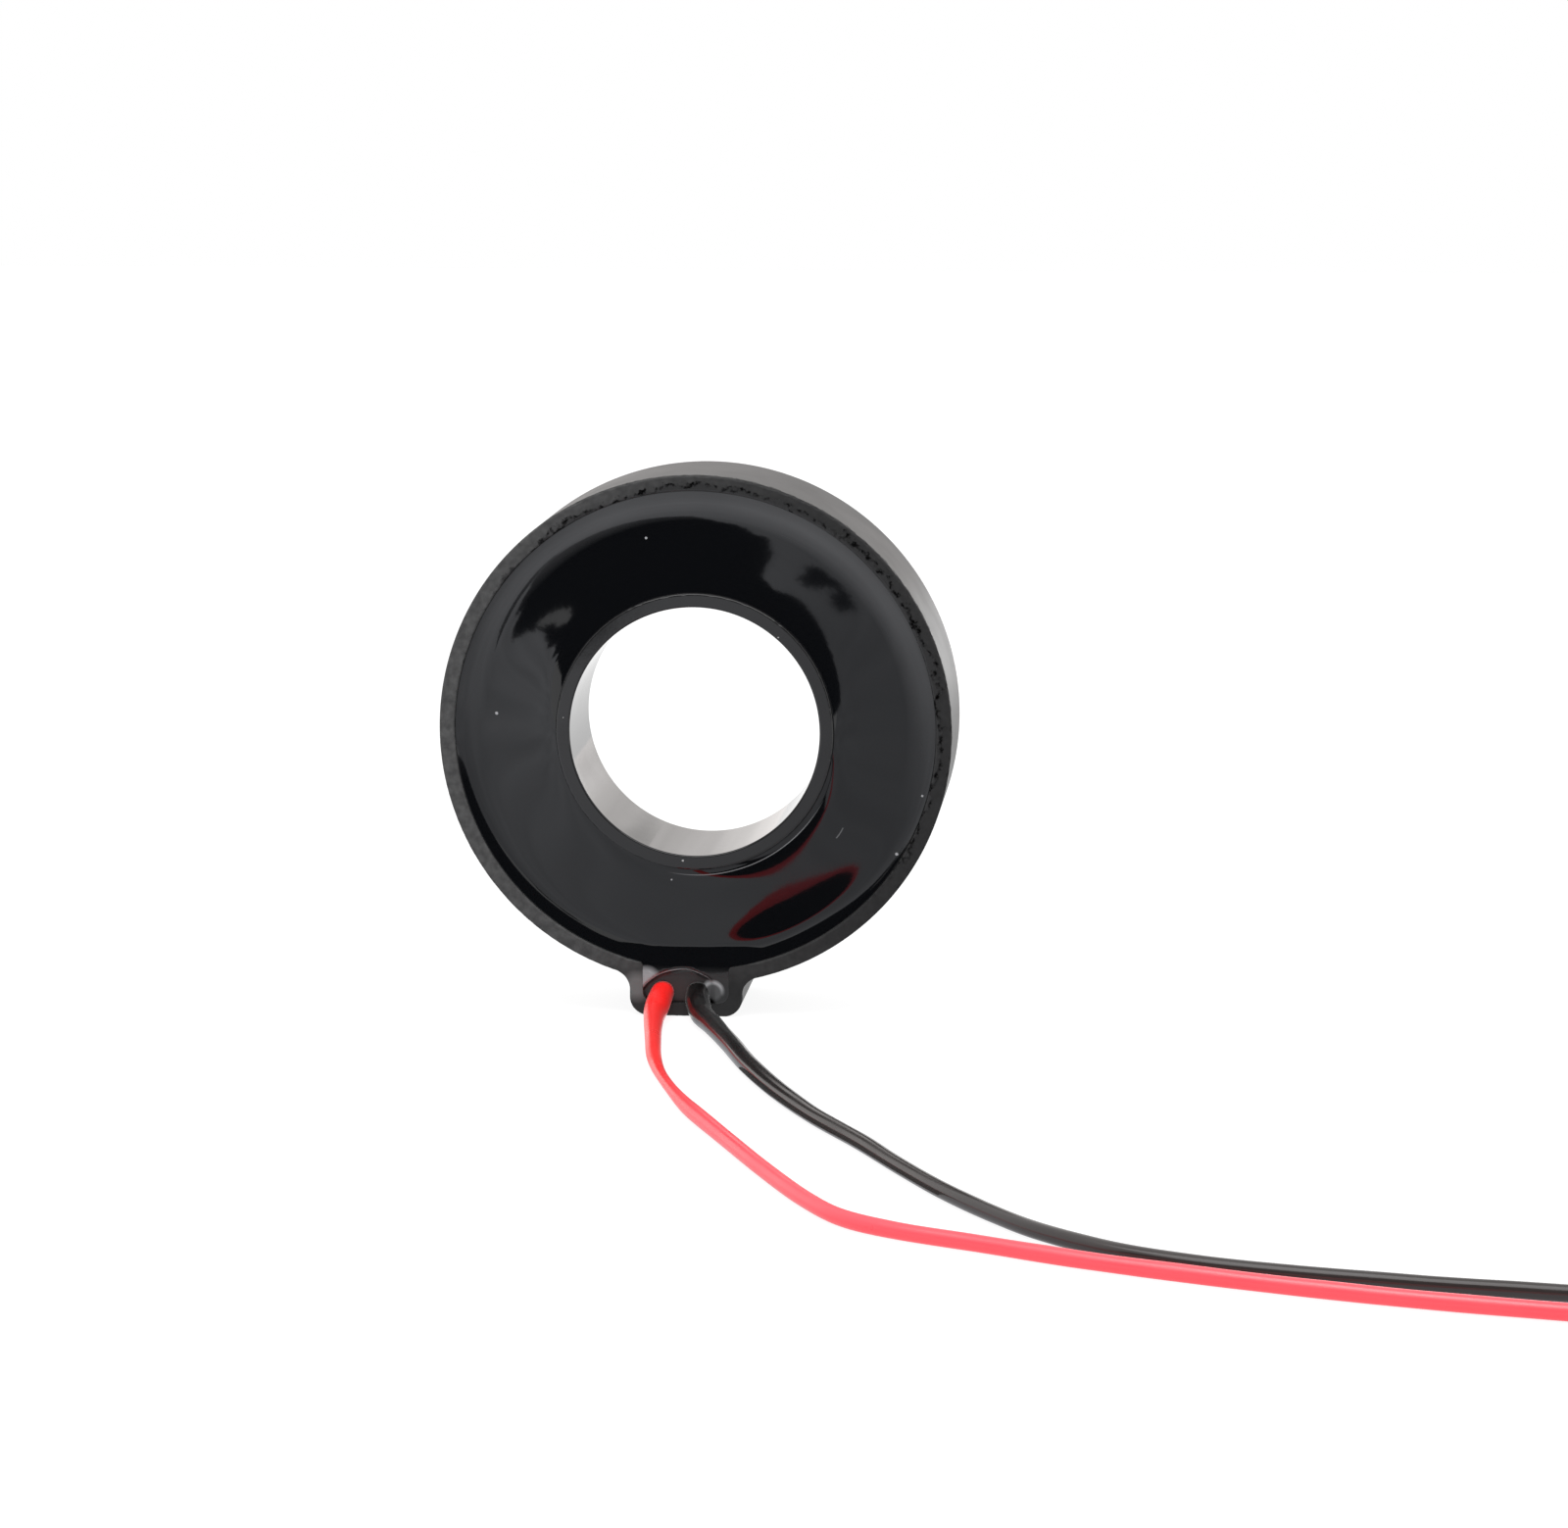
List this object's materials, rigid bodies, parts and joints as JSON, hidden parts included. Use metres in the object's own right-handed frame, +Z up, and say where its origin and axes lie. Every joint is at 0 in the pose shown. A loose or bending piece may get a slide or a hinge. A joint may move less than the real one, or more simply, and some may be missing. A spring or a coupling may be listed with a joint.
{
  "type": "current transformer",
  "caption": "Round through-hole current transformer in a black cup filled with resin, with a red and a black flying lead from a lug in its rim.",
  "frame": {"origin": "centre of the hole for the primary conductor, half way through the case", "axes": "+Y along the hole towards the closed back, +Z up, away from the lead lug that the part stands on, +X to the right as the resin face is seen"},
  "size_m": [0.0819, 0.0759, 0.0351],
  "materials": {
    "case_plastic": "moulded black plastic, satin rim, smooth side wall",
    "potting_resin": "poured black resin, glossy",
    "core_strip": "wound magnetic strip",
    "core_tape": "polyester tape",
    "enamelled_copper": "enamelled copper wire",
    "winding_tape": "polyester tape",
    "tinned_copper": "tinned and soldered",
    "red_sleeve": "heat-shrink sleeve",
    "black_sleeve": "heat-shrink sleeve",
    "red_insulation": "soft PVC",
    "black_insulation": "soft PVC"
  },
  "bodies": {
    "root": {"case": "case_plastic", "potting": "potting_resin", "core": "core_strip", "core_tape": "core_tape", "winding": "enamelled_copper", "winding_tape": "winding_tape", "start_wire": "enamelled_copper", "finish_wire": "enamelled_copper", "red_splice": "tinned_copper", "black_splice": "tinned_copper", "red_sleeve": "red_sleeve", "black_sleeve": "black_sleeve", "red_tail": "red_insulation", "black_tail": "black_insulation", "red_lead": "red_insulation", "black_lead": "black_insulation", "red_tip": "tinned_copper", "black_tip": "tinned_copper"}
  },
  "joints": []
}
